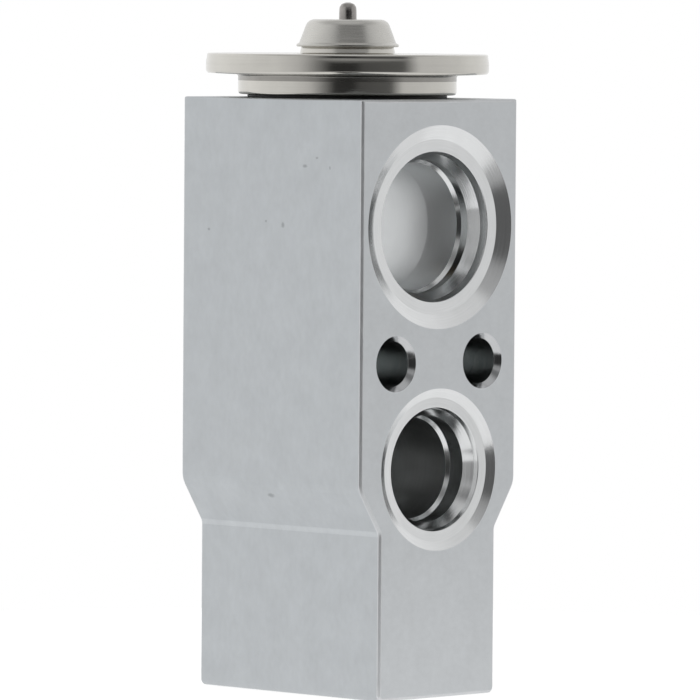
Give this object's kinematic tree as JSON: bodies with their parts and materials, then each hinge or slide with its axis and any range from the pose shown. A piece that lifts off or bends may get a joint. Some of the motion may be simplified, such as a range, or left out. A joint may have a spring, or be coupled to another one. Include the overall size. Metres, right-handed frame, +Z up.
{
  "type": "block-type thermostatic expansion valve",
  "caption": "Aluminium block expansion valve with refrigerant ports on two faces, through bolt holes, a narrow foot and a round power element on top.",
  "frame": {"origin": "where the power element's axis meets the plane of the block's bottom face, 0.55 mm behind that face's middle", "axes": "+Z up along the power element's axis, +X out of the evaporator face, +Y across the block's width"},
  "size_m": [0.0368, 0.0368, 0.0894],
  "materials": {
    "block_metal": "satin, extruded and machined",
    "shell_steel": "bright pressed stainless",
    "cap_steel": "satin pressed stainless",
    "dark_tube": "dark, soldered end",
    "seal_rubber": "matte",
    "spring_steel": "bright",
    "rod_metal": "turned",
    "brass": "turned",
    "sleeve_plastic": "matte"
  },
  "bodies": {
    "block": {"valve_body": "block_metal", "element_gasket": "seal_rubber", "lower_shell": "shell_steel", "diaphragm": "spring_steel", "upper_shell": "shell_steel", "charge_cap": "cap_steel", "charge_tube": "dark_tube", "retaining_ring": "spring_steel", "backing_washer": "rod_metal", "rod_o_ring": "seal_rubber", "bias_spring": "spring_steel"},
    "valve_train": {"diaphragm_stopper": "brass", "sensing_rod": "rod_metal", "rod_sleeve": "sleeve_plastic", "push_pin": "spring_steel", "valve_ball": "spring_steel", "ball_carrier": "brass", "damping_spring": "spring_steel"},
    "adjuster_seal": {"adjuster_o_ring": "seal_rubber"},
    "adjuster": {"adjusting_screw": "brass"}
  },
  "joints": [
    {"name": "valve_lift", "type": "slide", "parent": "block", "child": "valve_train", "axis": [0, 0, -1], "range_m": [0, 0.0007], "stiffness_N_per_m": 8000, "springref_m": -0.005, "deforming": ["bias_spring", "diaphragm"]},
    {"name": "adjuster_slide", "type": "slide", "parent": "block", "child": "adjuster_seal", "axis": [0, 0, 1], "range_m": [-0.00076, 0.00076], "deforming": ["bias_spring"]},
    {"name": "adjuster_turn", "type": "hinge", "parent": "adjuster_seal", "child": "adjuster", "pos_m": [0, 0, 0.005], "axis": [0, 0, 1], "range_deg": [-270, 270]}
  ],
  "couplings": [
    {"joint": "adjuster_slide", "follows": "adjuster_turn", "m_per_rad": 0.00015915}
  ]
}
